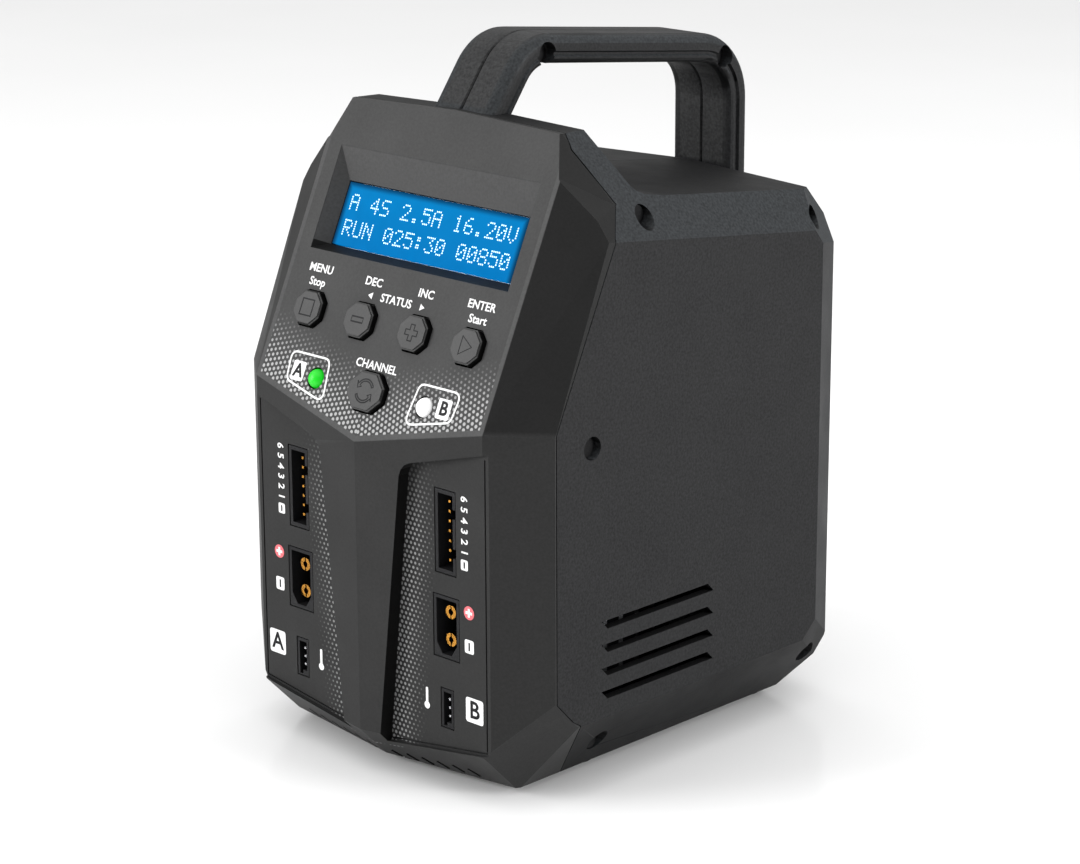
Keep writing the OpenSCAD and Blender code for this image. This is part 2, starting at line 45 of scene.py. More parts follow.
TILT = math.radians(24.8)
PANEL_ORIGIN = Vector((0, -63.7, 95.5))
PANEL_UP = Vector((0, math.sin(TILT), math.cos(TILT)))
PANEL_OUT = Vector((0, -math.cos(TILT), math.sin(TILT)))
PORT_FACE_Y = -62.8
# height of a printed mark's underside over the face, and of a second mark on top of the first
PRINT_LIFT = 0.04
PRINT_THICKNESS = 0.05
OVERPRINT_LIFT = PRINT_LIFT + PRINT_THICKNESS
# words are placed by the middle of their thickness
HALF_WORD_THICKNESS = 0.02
WORD_LIFT = PRINT_LIFT + HALF_WORD_THICKNESS
LETTER_LIFT = PRINT_LIFT + 0.08
# the control panel's lower edge is a V: height = V_LOWEST + V_SLOPE * |x|
V_SLOPE = 0.2354
V_LOWEST = -9.53
# heights over the control panel's face
BUTTON_FACE = 1.65
GLASS_FACE = -3.5


def panel_matrix(x, t, lift):
    """Local x to the right, y up the control panel, z out of it. x, t and lift in millimetres."""
    place = (PANEL_ORIGIN + Vector((x, 0, 0)) + PANEL_UP * t + PANEL_OUT * lift) * MM
    turn = Matrix((Vector((1, 0, 0)), PANEL_UP, PANEL_OUT)).transposed().to_4x4()
    return Matrix.Translation(place) @ turn


def port_matrix(x, z, lift):
    """Local x to the right, y up, z out of the recessed port panels."""
    place = Vector((x, PORT_FACE_Y - lift, z)) * MM
    return Matrix.Translation(place) @ Matrix.Rotation(math.pi / 2, 4, "X")


# ---- material building ----

PLASTIC_SHINE = 0.12
# a noise texture's values lie mostly between these two
NOISE_LOW = 0.3
NOISE_HIGH = 0.7


class Graph:
    """A material's nodes, with short calls for the sums used here."""

    def __init__(self, name):
        self.material = bpy.data.materials.new(name)
        self.material.use_nodes = True
        self.nodes = self.material.node_tree.nodes
        self.links = self.material.node_tree.links
        self.surface = self.nodes["Principled BSDF"]

    def add(self, kind, **settings):
        node = self.nodes.new(kind)
        for key, value in settings.items():
            setattr(node, key, value)
        return node

    def plug(self, value, socket):
        if isinstance(value, bpy.types.NodeSocket):
            self.links.new(value, socket)
        else:
            socket.default_value = value

    def math(self, operation, a, b=0.0, c=0.0):
        node = self.add("ShaderNodeMath", operation=operation)
        self.plug(a, node.inputs[0])
        self.plug(b, node.inputs[1])
        self.plug(c, node.inputs[2])
        return node.outputs[0]

    def place(self):
        """x, y and z of the shaded point in millimetres."""
        coordinates = self.add("ShaderNodeTexCoord").outputs["Object"]
        scaled = self.add("ShaderNodeVectorMath", operation="SCALE")
        self.plug(coordinates, scaled.inputs[0])
        scaled.inputs["Scale"].default_value = 1 / MM
        split = self.add("ShaderNodeSeparateXYZ")
        self.plug(scaled.outputs[0], split.inputs[0])
        return split.outputs[0], split.outputs[1], split.outputs[2]

    def facing(self):
        """x, y and z of the surface's own direction."""
        split = self.add("ShaderNodeSeparateXYZ")
        self.plug(self.add("ShaderNodeTexCoord").outputs["Normal"], split.inputs[0])
        return split.outputs[0], split.outputs[1], split.outputs[2]

    def product(self, *values):
        result = values[0]
        for value in values[1:]:
            result = self.math("MULTIPLY", result, value)
        return result

    def noise(self, scale, detail=2.0):
        node = self.add("ShaderNodeTexNoise")
        self.plug(self.add("ShaderNodeTexCoord").outputs["Object"], node.inputs["Vector"])
        node.inputs["Scale"].default_value = scale
        node.inputs["Detail"].default_value = detail
        return node.outputs["Fac"]

    def mix(self, factor, a, b):
        node = self.add("ShaderNodeMix", data_type="RGBA")
        self.plug(factor, node.inputs[0])
        self.plug(a, node.inputs[6])
        self.plug(b, node.inputs[7])
        return node.outputs[2]

    def remap(self, value, low, high, to_low, to_high, smooth=False):
        node = self.add("ShaderNodeMapRange")
        if smooth:
            node.interpolation_type = "SMOOTHSTEP"
        self.plug(value, node.inputs[0])
        for index, number in enumerate((low, high, to_low, to_high), start=1):
            self.plug(number, node.inputs[index])
        return node.outputs[0]

    def varied(self, scale, low, high):
        """A value that wanders between low and high over the surface."""
        return self.remap(self.noise(scale), NOISE_LOW, NOISE_HIGH, low, high)

    def above(self, value, edge, soft=0.06):
        """1 where value is above edge, with a soft step of twice soft."""
        return self.remap(value, edge - soft, edge + soft, 0.0, 1.0)

    def below(self, value, edge, soft=0.06):
        return self.remap(value, edge - soft, edge + soft, 1.0, 0.0)

    def between(self, value, low, high):
        return self.product(self.above(value, low), self.below(value, high))

    def bump(self, height, strength, distance):
        node = self.add("ShaderNodeBump")
        node.inputs["Strength"].default_value = strength
        node.inputs["Distance"].default_value = distance
        self.plug(height, node.inputs["Height"])
        self.plug(node.outputs[0], self.surface.inputs["Normal"])


def grey(level):
    return (level, level, level, 1.0)


def finish_surface(graph, color, roughness, grain, relief, spread, metallic=0.0):
    """Colour with a fine variation, roughness with a coarse one, and a grain in relief.

    grain is the fine noise's scale, relief its height in metres and spread its share of the colour."""
    fine = graph.noise(grain, 3.0)
    coarse = graph.noise(60.0, 3.0)
    tone = graph.remap(fine, NOISE_LOW, NOISE_HIGH, 1.0 - spread, 1.0 + spread)
    scaled = graph.add("ShaderNodeVectorMath", operation="SCALE")
    graph.plug(color, scaled.inputs[0])
    graph.plug(tone, scaled.inputs["Scale"])
    graph.plug(scaled.outputs[0], graph.surface.inputs["Base Color"])
    rough = graph.remap(coarse, NOISE_LOW, NOISE_HIGH, roughness - 0.05, roughness + 0.05)
    graph.plug(rough, graph.surface.inputs["Roughness"])
    graph.plug(metallic, graph.surface.inputs["Metallic"])
    graph.surface.inputs["Specular IOR Level"].default_value = 0.5 if metallic else PLASTIC_SHINE
    if relief:
        graph.bump(fine, 0.5, relief)
    return graph


def simple(name, color, roughness, grain=900.0, relief=0.00004, spread=0.08, metallic=0.0):
    """A material of one colour with the usual variation."""
    graph = Graph(name)
    tint = graph.add("ShaderNodeRGB").outputs[0]
    tint.default_value = (*color, 1.0)
    finish_surface(graph, tint, roughness, grain, relief, spread, metallic)
    return graph.material


def hex_dots(graph, across, along, pitch, radius):
    """Round dots on a hexagonal lattice with the given radius, as a mask. Columns run along."""
    wide = pitch * math.sqrt(3)
    # a whole number of steps keeps both coordinates above zero
    offset_steps = 400
    nearest = None
    for shift in (0.0, 0.5):
        across_shifted = graph.math("ADD", across, (offset_steps + shift) * wide)
        along_shifted = graph.math("ADD", along, (offset_steps + shift) * pitch)
        u = graph.math("PINGPONG", across_shifted, wide / 2)
        v = graph.math("PINGPONG", along_shifted, pitch / 2)
        squares = graph.math("ADD", graph.math("MULTIPLY", u, u), graph.math("MULTIPLY", v, v))
        distance = graph.math("SQRT", squares)
        nearest = distance if nearest is None else graph.math("MINIMUM", nearest, distance)
    return graph.above(graph.math("SUBTRACT", radius, nearest), 0.0)


def panel_coordinates(graph):
    """|x|, distance up the control panel, and height above it, in millimetres."""
    x, y, z = graph.place()
    dy = graph.math("SUBTRACT", y, PANEL_ORIGIN.y)
    dz = graph.math("SUBTRACT", z, PANEL_ORIGIN.z)
    up = graph.math("ADD", graph.math("MULTIPLY", dy, PANEL_UP.y), graph.math("MULTIPLY", dz, PANEL_UP.z))
    out = graph.math("ADD", graph.math("MULTIPLY", dy, PANEL_OUT.y), graph.math("MULTIPLY", dz, PANEL_OUT.z))
    return graph.math("ABSOLUTE", x), up, out


# tones of the front moulding, painted light and shade among them
PANEL_GREY = 0.040
# the panel face's unprinted border, lighter as a painted highlight along the panel's edges
BORDER_HIGHLIGHT_GREY = 0.056
BODY_GREY = 0.022
# painted shade on the upper side facets
UPPER_SIDE_SHADE_GREY = 0.012
# painted shade on the centre bar's side walls, near black
BAR_WALL_SHADE_GREY = 0.004
# painted light on the display recess's slopes
SLOPE_PAINTED_LIGHT_GREY = 0.056
LEDGE_GREY = 0.006
DOT_GREY = 0.36

# places on the front moulding, in millimetres
PANEL_HALF_WIDTH = 40.55
PANEL_FLARE = 0.004
BORDER_INSET = 1.25
PANEL_DOT_PITCH = 1.48
PORT_DOT_PITCH = 1.45
BAR_FOOT_X = 5.75
BAR_FLARE = 0.103
RECESS_LOW = 34.0
RECESS_HIGH = 62.3
RECESS_HALF_WIDTH = 35.3
RECESS_DEPTH = 3.6
LEDGE_TOP = 36.925
SCREEN_LOW = 37.2
SCREEN_HIGH = 53.5
SCREEN_HALF_WIDTH = 31.6


def panel_print(graph, x, up, on_face):
    """Masks of the printed area inside the control panel's border, and of the dots in it."""
    run = math.atan(V_SLOPE)
    above_v = graph.math("SUBTRACT", up, graph.math("MULTIPLY", x, V_SLOPE))
    from_v = graph.math("MULTIPLY", graph.math("SUBTRACT", above_v, V_LOWEST), math.cos(run))
    along_v = graph.math("ADD", graph.math("MULTIPLY", x, math.cos(run)),
                         graph.math("MULTIPLY", up, math.sin(run)))
    panel_side = graph.math("ADD", PANEL_HALF_WIDTH, graph.math("MULTIPLY", up, PANEL_FLARE))
    from_side = graph.math("SUBTRACT", panel_side, x)
    from_edge = graph.math("MINIMUM", from_v, from_side)
    printed = graph.product(graph.above(from_edge, BORDER_INSET, 0.1), on_face)
    radius = graph.remap(from_v, 1.5, 20.0, 0.47, 0.26)
    dots = hex_dots(graph, along_v, from_v, PANEL_DOT_PITCH, radius)
    fade = graph.remap(from_v, 5.0, 19.0, 1.0, 0.0, smooth=True)
    return printed, graph.product(dots, fade, printed)


def port_print(graph, side, y, z):
    """Mask of the dots on the recessed port panels, fading away from the centre bar."""
    bar_edge = graph.math("ADD", BAR_FOOT_X, graph.math("MULTIPLY", z, BAR_FLARE))
    from_bar = graph.math("SUBTRACT", side, bar_edge)
    dots = hex_dots(graph, z, side, PORT_DOT_PITCH, graph.remap(from_bar, 0.0, 12.0, 0.46, 0.2))
    fade = graph.remap(from_bar, 1.0, 12.5, 0.75, 0.0, smooth=True)
    on_port_face = graph.between(y, PORT_FACE_Y - 0.1, PORT_FACE_Y + 0.1)
    towards_top = graph.remap(z, 66.0, 82.0, 1.0, 0.15)
    return graph.product(dots, fade, on_port_face, towards_top)


def body_tone(graph, side, z):
    """The moulding's own colour, with painted shade on the upper side facets and on the centre bar's walls.
    """
    sideways = graph.math("ABSOLUTE", graph.facing()[0])
    # painted shade: sideways facets above the panel are darker
    upper_side_shade = graph.product(graph.above(z, 96.0, 0.5), graph.above(sideways, 0.45, 0.05))
    # painted shade on the centre bar's side walls
    bar_wall_shade = graph.product(graph.above(sideways, 0.75, 0.05), graph.below(side, 18.0, 0.5),
                             graph.below(z, 93.0, 1.0))
    tone = graph.mix(upper_side_shade, grey(BODY_GREY), grey(UPPER_SIDE_SHADE_GREY))
    return graph.mix(bar_wall_shade, tone, grey(BAR_WALL_SHADE_GREY))


def front_plastic():
    """The front moulding: printed control panel with its border, painted lighter as a highlight along the
    panel's edges, and dots that fade upwards.
    """
    graph = Graph("front_plastic")
    x, up, out = panel_coordinates(graph)
    on_face = graph.above(out, -0.09, 0.03)
    printed, panel_dots = panel_print(graph, x, up, on_face)

    across, y, z = graph.place()
    side = graph.math("ABSOLUTE", across)
    port_dots = port_print(graph, side, y, z)
    # outside the print the panel face takes the border's painted highlight
    plain = graph.mix(on_face, body_tone(graph, side, z), grey(BORDER_HIGHLIGHT_GREY))

    # the display recess: its slopes painted lighter than the panel as painted light, and a dark lower ledge
    in_recess = graph.product(graph.between(up, RECESS_LOW, RECESS_HIGH), graph.below(x, RECESS_HALF_WIDTH),
                              graph.between(out, -RECESS_DEPTH, -0.1))
    recess_light_and_ledge_tone = graph.mix(graph.below(up, LEDGE_TOP, 0.075), grey(SLOPE_PAINTED_LIGHT_GREY), grey(LEDGE_GREY))
    plain = graph.mix(in_recess, plain, recess_light_and_ledge_tone)
    color = graph.mix(printed, plain, graph.mix(in_recess, grey(PANEL_GREY), recess_light_and_ledge_tone))
    color = graph.mix(panel_dots, color, grey(DOT_GREY))
    color = graph.mix(port_dots, color, grey(DOT_GREY))
    finish_surface(graph, color, roughness=0.52, grain=1500.0, relief=0.00003, spread=0.10)
    return graph.material


def handle_mask(graph):
    """1 on the handle. Its lower bound is over the crown in front, then over the deck, then behind it."""
    x, y, z = graph.place()
    handle_half_width = 7.6
    over_crown = 164.6
    over_deck = 149.0
    behind_deck = 138.0
    lowest = graph.math("SUBTRACT", graph.remap(y, -10.0, 5.0, over_crown, over_deck),
                        graph.remap(y, 52.0, 55.0, 0.0, over_deck - behind_deck))
    high_enough = graph.above(graph.math("SUBTRACT", z, lowest), 0.3, 0.3)
    return graph.product(high_enough, graph.below(graph.math("ABSOLUTE", x), handle_half_width, 0.2))


SHELL_TONE = (0.0150, 0.0153, 0.0162, 1.0)
# painted shade on sideways faces
FLANK_SHADE_TONE = (0.0122, 0.0124, 0.0130, 1.0)
# painted shade on upward faces
DECK_SHADE_TONE = (0.0082, 0.0083, 0.0087, 1.0)
# painted light on the top bevels
TOP_BEVEL_LIGHT_TONE = (0.0240, 0.0262, 0.0282, 1.0)
# painted shade on downward faces
FOOT_SHADE_TONE = (0.0042, 0.0043, 0.0046, 1.0)
# painted light on the handle
HANDLE_LIGHT_TONE = (0.0260, 0.0262, 0.0268, 1.0)


def shell_plastic():
    """The side shells: painted shade on the flanks, deck and foot, and painted light on the top bevels and
    the handle.
    """
    graph = Graph("shell_plastic")
    sideways, _, upwards = graph.facing()
    # painted shade on the flanks, picked by the way each face points
    flank = graph.above(graph.math("ABSOLUTE", sideways), 0.95, 0.02)
    color = graph.mix(flank, SHELL_TONE, FLANK_SHADE_TONE)
    # painted shade on the deck
    color = graph.mix(graph.above(upwards, 0.95, 0.02), color, DECK_SHADE_TONE)
    # painted light on the top bevels
    color = graph.mix(graph.between(upwards, 0.25, 0.93), color, TOP_BEVEL_LIGHT_TONE)
    # painted shade on the undersides
    color = graph.mix(graph.below(upwards, -0.25, 0.05), color, FOOT_SHADE_TONE)
    # painted light on the handle
    color = graph.mix(handle_mask(graph), color, HANDLE_LIGHT_TONE)
    finish_surface(graph, color, roughness=0.55, grain=1500.0, relief=0.00010, spread=0.40)
    return graph.material


def key_plastic():
    """Push buttons: a face in the keys' grey towards the user, and sides near black as painted shade of the
    gap round each key.
    """
    graph = Graph("key_plastic")
    out = panel_coordinates(graph)[2]
    # painted shade on the key sides below the face
    color = graph.mix(graph.above(out, 1.2, 0.2), grey(0.003), grey(0.056))
    finish_surface(graph, color, roughness=0.45, grain=1800.0, relief=0.00002, spread=0.06)
    return graph.material


def display_glass():
    """Backlit blue display, deeper in tone towards its lower edge, with a painted shadow of the frame along
    its top and sides.
    """
    graph = Graph("display")
    x, up, _ = panel_coordinates(graph)
    height = graph.remap(up, SCREEN_LOW, SCREEN_HIGH, 0.0, 1.0)
    glow = graph.mix(height, (0.0, 0.205, 0.56, 1.0), (0.0, 0.24, 0.60, 1.0))
    tint = graph.mix(height, (0.0, 0.01, 0.03, 1.0), (0.0, 0.012, 0.04, 1.0))
    from_side = graph.math("SUBTRACT", SCREEN_HALF_WIDTH, x)
    from_top = graph.math("SUBTRACT", SCREEN_HIGH, up)
    # painted shadow of the frame along the display's top and sides
    shade = graph.remap(graph.math("MINIMUM", from_side, from_top), 0.0, 1.8, 0.2, 1.0, smooth=True)
    cells = graph.varied(220.0, 0.96, 1.04)
    graph.plug(glow, graph.surface.inputs["Emission Color"])
    graph.plug(graph.product(shade, cells, 0.93), graph.surface.inputs["Emission Strength"])
    graph.plug(tint, graph.surface.inputs["Base Color"])
    graph.surface.inputs["Specular IOR Level"].default_value = 0.01
    graph.plug(graph.varied(90.0, 0.45, 0.55), graph.surface.inputs["Roughness"])
    return graph.material


def glowing(name, color, strength, rough, centre_bright=0.3):
    """Lit plastic: emission that falls off at the rim of a lamp."""
    graph = Graph(name)
    facing = graph.add("ShaderNodeLayerWeight")
    facing.inputs["Blend"].default_value = 0.35
    rim = graph.remap(facing.outputs["Facing"], 0.0, 1.0, 1.0 + centre_bright, 1.0 - centre_bright)
    grain = graph.varied(500.0, 0.95, 1.05)
    tint = graph.mix(grain, tuple(0.9 * part for part in color) + (1.0,), (*color, 1.0))
    graph.plug(tint, graph.surface.inputs["Emission Color"])
    graph.plug(graph.product(rim, grain, strength), graph.surface.inputs["Emission Strength"])
    graph.plug(tint, graph.surface.inputs["Base Color"])
    graph.plug(graph.varied(70.0, rough, rough + 0.08), graph.surface.inputs["Roughness"])
    return graph.material


def heat_sink():
    """Aluminium with a slight cloudiness."""
    graph = Graph("heat_sink_metal")
    tint = graph.mix(graph.noise(400.0), (0.16, 0.163, 0.17, 1.0), (0.22, 0.225, 0.235, 1.0))
    finish_surface(graph, tint, roughness=0.38, grain=700.0, relief=0.00002, spread=0.05, metallic=1.0)
    return graph.material


def wound(name, color):
    """Turns of wire or tape, shown as fine rings up the part."""
    graph = Graph(name)
    height = graph.place()[2]
    half_turn = 0.45
    turns = graph.math("PINGPONG", height, half_turn)
    groove = tuple(0.6 * part for part in color) + (1.0,)
    tint = graph.mix(graph.math("MULTIPLY", turns, 2.2), groove, (*color, 1.0))
    finish_surface(graph, tint, roughness=0.4, grain=600.0, relief=0.00002, spread=0.06)
    return graph.material


MATERIALS = {
    "front_plastic": front_plastic(),
    "shell_plastic": shell_plastic(),
    "rear_plastic": simple("rear_plastic", (0.0140, 0.0142, 0.0150), 0.55,
                           grain=1500.0, relief=0.00008, spread=0.30),
    "display": display_glass(),
    "tin_plate": simple("tin_plate", (0.60, 0.60, 0.60), 0.35,
                        grain=500.0, relief=0.00002, spread=0.06, metallic=1.0),
    "circuit_board": simple("circuit_board", (0.02, 0.13, 0.06), 0.45, grain=350.0, relief=0.00002,
                            spread=0.18),
    "key_plastic": key_plastic(),
    "switch_body": simple("switch_body", (0.015, 0.015, 0.016), 0.5),
    "lamp_green": glowing("lamp_green", (0.0, 0.40, 0.005), strength=0.6, rough=0.4, centre_bright=0.6),
    "lamp_white": glowing("lamp_white", (0.90, 0.90, 0.90), strength=0.35, rough=0.3, centre_bright=0.1),
    "port_plastic": simple("port_plastic", (0.010, 0.010, 0.011), 0.5,
                           grain=1200.0, relief=0.00003, spread=0.12),
    "gold_contact": simple("gold_contact", (0.22, 0.10, 0.014), 0.26,
                           grain=800.0, relief=0.00001, spread=0.15, metallic=1.0),
    "tinned_contact": simple("tinned_contact", (0.24, 0.24, 0.25), 0.34,
                             grain=800.0, relief=0.00001, spread=0.06, metallic=1.0),
    "heat_sink_metal": heat_sink(),
    "transformer_tape": wound("transformer_tape", (0.70, 0.52, 0.10)),
    "capacitor_sleeve": simple("capacitor_sleeve", (0.02, 0.02, 0.03), 0.3,
                               grain=400.0, relief=0.00001, spread=0.1),
    "copper_winding": wound("copper_winding", (0.60, 0.22, 0.06)),
    "fan_plastic": simple("fan_plastic", (0.018, 0.018, 0.019), 0.45, relief=0.00003, spread=0.12),
    "dark_screw": simple("dark_screw", (0.004, 0.004, 0.0045), 0.5, relief=0.00002, spread=0.15),
    "foot_rubber": simple("foot_rubber", (0.012, 0.012, 0.012), 0.75,
                          grain=700.0, relief=0.00005, spread=0.15),
    "white_print": simple("white_print", (0.82, 0.82, 0.82), 0.5, grain=1200.0, relief=0.0, spread=0.03),
    "red_print": simple("red_print", (0.72, 0.16, 0.18), 0.5, grain=1200.0, relief=0.0, spread=0.04),
    "dark_print": simple("dark_print", (0.006, 0.006, 0.007), 0.5, grain=1200.0, relief=0.0, spread=0.05),
    "screen_dots": glowing("screen_dots", (0.47, 0.73, 0.88), strength=0.97, rough=0.5, centre_bright=0.02),
}


def edge_of(name, color, spread):
    """A lighter tone for rounded edges: a painted highlight along them."""
    return simple(name + "_edge", color, 0.4, grain=1500.0, relief=0.0, spread=spread)


# painted highlights on the rounded edges of the moulded parts
EDGE_HIGHLIGHT_MATERIALS = {
    "front_plastic": edge_of("front_plastic", (0.062, 0.062, 0.063), 0.06),
    "shell_plastic": edge_of("shell_plastic", (0.040, 0.041, 0.043), 0.08),
    "rear_plastic": edge_of("rear_plastic", (0.034, 0.035, 0.036), 0.08),
}

# edge rounding asked for on the moulded parts, in millimetres. The modifier narrows it on a part that has
# short edges: the buttons and the inlet get all of it, the feet, fan frame and back panel 0.03 to 0.04, the
# front housing 0.01 and the shells next to nothing
ROUNDING = {"front_housing": 0.30, "left_shell": 0.30, "right_shell": 0.30, "back_panel": 0.15,
            "stop_button": 0.18, "dec_button": 0.18, "inc_button": 0.18, "start_button": 0.18,
            "channel_button": 0.18, "mains_inlet": 0.15, "fan_frame": 0.15, "rubber_feet": 0.2}


# vertices of neighbouring faces closer than this, in metres, are one vertex
WELD_DISTANCE = 0.000002
# edges sharper than this are rounded
SHARP_EDGE = math.radians(16)


def dress_cad_nodes():
    """Every CAD node gets its slot's material, and the moulded ones rounded edges as far as these fit."""
    slots = {part["node"]: part["material_slot"] for part in frame["record"]["subparts"]}
    for name, node in frame["nodes"].items():
        node.data.materials.clear()
        node.data.materials.append(MATERIALS[slots[name]])
        if name in ROUNDING:
            weld = node.modifiers.new("join_faces", "WELD")
            weld.merge_threshold = WELD_DISTANCE
            bevel = node.modifiers.new("soft_edges", "BEVEL")
            bevel.width = ROUNDING[name] * MM
            bevel.segments = 2
            bevel.limit_method = "ANGLE"
            bevel.angle_limit = SHARP_EDGE
            bevel.harden_normals = True
            # the rounded faces take the painted edge highlight
            if slots[name] in EDGE_HIGHLIGHT_MATERIALS:
                node.data.materials.append(EDGE_HIGHLIGHT_MATERIALS[slots[name]])
                bevel.material = 1


# ---- printed marks ----

def add_mesh(name, vertices, faces, matrix, slot, body=CASE):
    """A piece from vertices in millimetres, placed by matrix."""
    mesh = bpy.data.meshes.new(name)
    mesh.from_pydata([tuple(part * MM for part in vertex) for vertex in vertices], [], faces)
    mesh.update()
    mesh.materials.append(MATERIALS[slot])
    piece = bpy.data.objects.new(name, mesh)
    bpy.context.scene.collection.objects.link(piece)
    piece.matrix_world = matrix
    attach(piece, body)
    return piece


def solid_outline(points, low, high):
    """A flat prism over an outline: vertices and faces."""
    count = len(points)
    vertices = [(x, y, low) for x, y in points] + [(x, y, high) for x, y in points]
    faces = [list(range(count))[::-1], list(range(count, 2 * count))]
    faces += [[i, (i + 1) % count, count + (i + 1) % count, count + i] for i in range(count)]
    return vertices, faces


def solid_ring(outer, inner, low, high):
    """A flat frame between two outlines with as many points each."""
    count = len(outer)
    vertices = []
    for height in (low, high):
        vertices += [(x, y, height) for x, y in outer]
        vertices += [(x, y, height) for x, y in inner]
    faces = []
    for i in range(count):
        j = (i + 1) % count
        faces.append([i, count + i, count + j, j])
        faces.append([2 * count + i, 2 * count + j, 3 * count + j, 3 * count + i])
        faces.append([i, j, 2 * count + j, 2 * count + i])
        faces.append([count + j, count + i, 3 * count + i, 3 * count + j])
    return vertices, faces


def rounded(points, radius, steps=5):
    """The outline with each corner rounded."""
    result = []
    count = len(points)
    for i in range(count):
        corner = Vector(points[i])
        before = (Vector(points[i - 1]) - corner).normalized()
        after = (Vector(points[(i + 1) % count]) - corner).normalized()
        half = before.angle(after) / 2
        reach = radius / math.tan(half)
        start = corner + before * reach
        end = corner + after * reach
        for step in range(steps + 1):
            share = step / steps
            point = start * (1 - share) ** 2 + corner * 2 * share * (1 - share) + end * share ** 2
            result.append(tuple(point))
    return result


def shrunk(points, amount):
    """The outline moved inwards by amount."""
    result = []
    count = len(points)
    for i in range(count):
        here = Vector(points[i])
        ahead = Vector(points[(i + 1) % count]) - here
        behind = here - Vector(points[i - 1])
        normal = Vector((-(ahead.y + behind.y), ahead.x + behind.x)).normalized()
        result.append(tuple(here + normal * amount))
    return result


def rectangle(width, height):
    return [(-width / 2, -height / 2), (width / 2, -height / 2), (width / 2, height / 2),
            (-width / 2, height / 2)]


def circle(radius, count=28):
    return [(radius * math.cos(2 * math.pi * i / count), radius * math.sin(2 * math.pi * i / count))
            for i in range(count)]


def plate(name, points, matrix, slot):
    """A flat printed area."""
    return add_mesh(name, *solid_outline(points, 0.0, PRINT_THICKNESS), matrix, slot)


def loop(name, points, width, matrix, slot, thickness=PRINT_THICKNESS, body=CASE):
    """A printed line that closes on itself, width wide towards the inside of points."""
    inner = shrunk(points, width)
    return add_mesh(name, *solid_ring(points, inner, 0.0, thickness), matrix, slot, body)


# height of a capital letter as a share of the type size
CAPITAL_SHARE = 0.71


def word(name, text, size, matrix, slot, bold=0.0, stretch=1.0):
    """Printed generic lettering, centred on its place. size is the height of a capital."""
    curve = bpy.data.curves.new(name, "FONT")
    curve.body = text
    curve.size = size / CAPITAL_SHARE * MM
    curve.align_x = "CENTER"
    curve.align_y = "CENTER"
    curve.extrude = HALF_WORD_THICKNESS * MM
    curve.offset = bold * MM
    curve.resolution_u = 3
    curve.materials.append(MATERIALS[slot])
    piece = bpy.data.objects.new(name, curve)
    bpy.context.scene.collection.objects.link(piece)
    piece.matrix_world = matrix @ Matrix.Diagonal((stretch, 1, 1, 1))
    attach(piece, CASE)
    return piece


# name, text and centre of each word, along and up the control panel
PANEL_WORDS = (
    ("label_menu", "MENU", -28.8, 29.9),
    ("label_stop", "Stop", -28.8, 26.4),
    ("label_dec", "DEC", -9.3, 29.6),
    ("label_status", "STATUS", 0.0, 26.2),
    ("label_inc", "INC", 9.3, 29.6),
    ("label_enter", "ENTER", 28.3, 29.9),
    ("label_start", "Start", 28.3, 26.4),
    ("label_channel", "CHANNEL", 0.0, 9.5),
)
LABEL_HEIGHT = 2.1
LABEL_STRETCH = 1.06
ARROW_X = 9.1
ARROW_T = 26.2
LAMP_LETTER_X = 26.1
LAMP_LETTER_T = 3.6
LAMP_LETTER_HEIGHT = 3.4


def print_control_panel():
    for name, text, x, t in PANEL_WORDS:
        word(name, text, LABEL_HEIGHT, panel_matrix(x, t, WORD_LIFT), "white_print",
             bold=0.055, stretch=LABEL_STRETCH)
    for side, name in ((-1, "left"), (1, "right")):
        arrow = [(-0.6 * side, -0.85), (0.9 * side, 0.0), (-0.6 * side, 0.85)]
        if side < 0:
            arrow.reverse()
        plate("arrow_" + name, arrow, panel_matrix(side * ARROW_X, ARROW_T, PRINT_LIFT), "white_print")
    for side, letter in ((-1, "A"), (1, "B")):
        corners = [(14.3, -2.9), (29.6, 0.6), (30.6, 8.5), (16.0, 8.5)]
        if side < 0:
            corners = [(-x, t) for x, t in reversed(corners)]
        frame_line = rounded(corners, 2.4)
        loop(f"lamp_frame_{letter}", frame_line, 0.5, panel_matrix(0, 0, PRINT_LIFT), "white_print")
        x = side * LAMP_LETTER_X
        letter_box = rounded(rectangle(4.5, 5.0), 0.6)
        plate(f"lamp_letter_box_{letter}", letter_box, panel_matrix(x, LAMP_LETTER_T, PRINT_LIFT),
              "white_print")
        word(f"lamp_letter_{letter}", letter, LAMP_LETTER_HEIGHT,
             panel_matrix(x, LAMP_LETTER_T, LETTER_LIFT), "dark_print", bold=0.14)


# distance from the middle and height of the marks on the port panels
PIN_MARK_X = 33.2
PIN_MINUS_Z = 61.2
PIN_ONE_Z = 64.4
PIN_MARK_STEP = 2.7
PIN_NUMBERS = 6
PIN_NUMBER_HEIGHT = 2.2
POLE_X = 34.6
PLUS_Z = 49.3
MINUS_Z = 40.6
PORT_LETTER_X = 36.2
PORT_LETTER_Z = 24.3
PORT_LETTER_HEIGHT = 4.5
THERMOMETER_X = 19.5
THERMOMETER_Z = 21.7


def minus_sign(prefix, letter, x, z, box, corner, bar):
    """A dark upright bar in a white box."""
    plate(f"{prefix}_box_{letter}", rounded(rectangle(*box), corner), port_matrix(x, z, PRINT_LIFT),
          "white_print")
    plate(f"{prefix}_bar_{letter}", rectangle(*bar), port_matrix(x, z, OVERPRINT_LIFT), "dark_print")


def cross_outline(arm, half):
    """A plus sign: arm from the middle to an end, half the width of a bar."""
    return [(-half, -arm), (half, -arm), (half, -half), (arm, -half), (arm, half), (half, half),
            (half, arm), (-half, arm), (-half, half), (-arm, half), (-arm, -half), (-half, -half)]


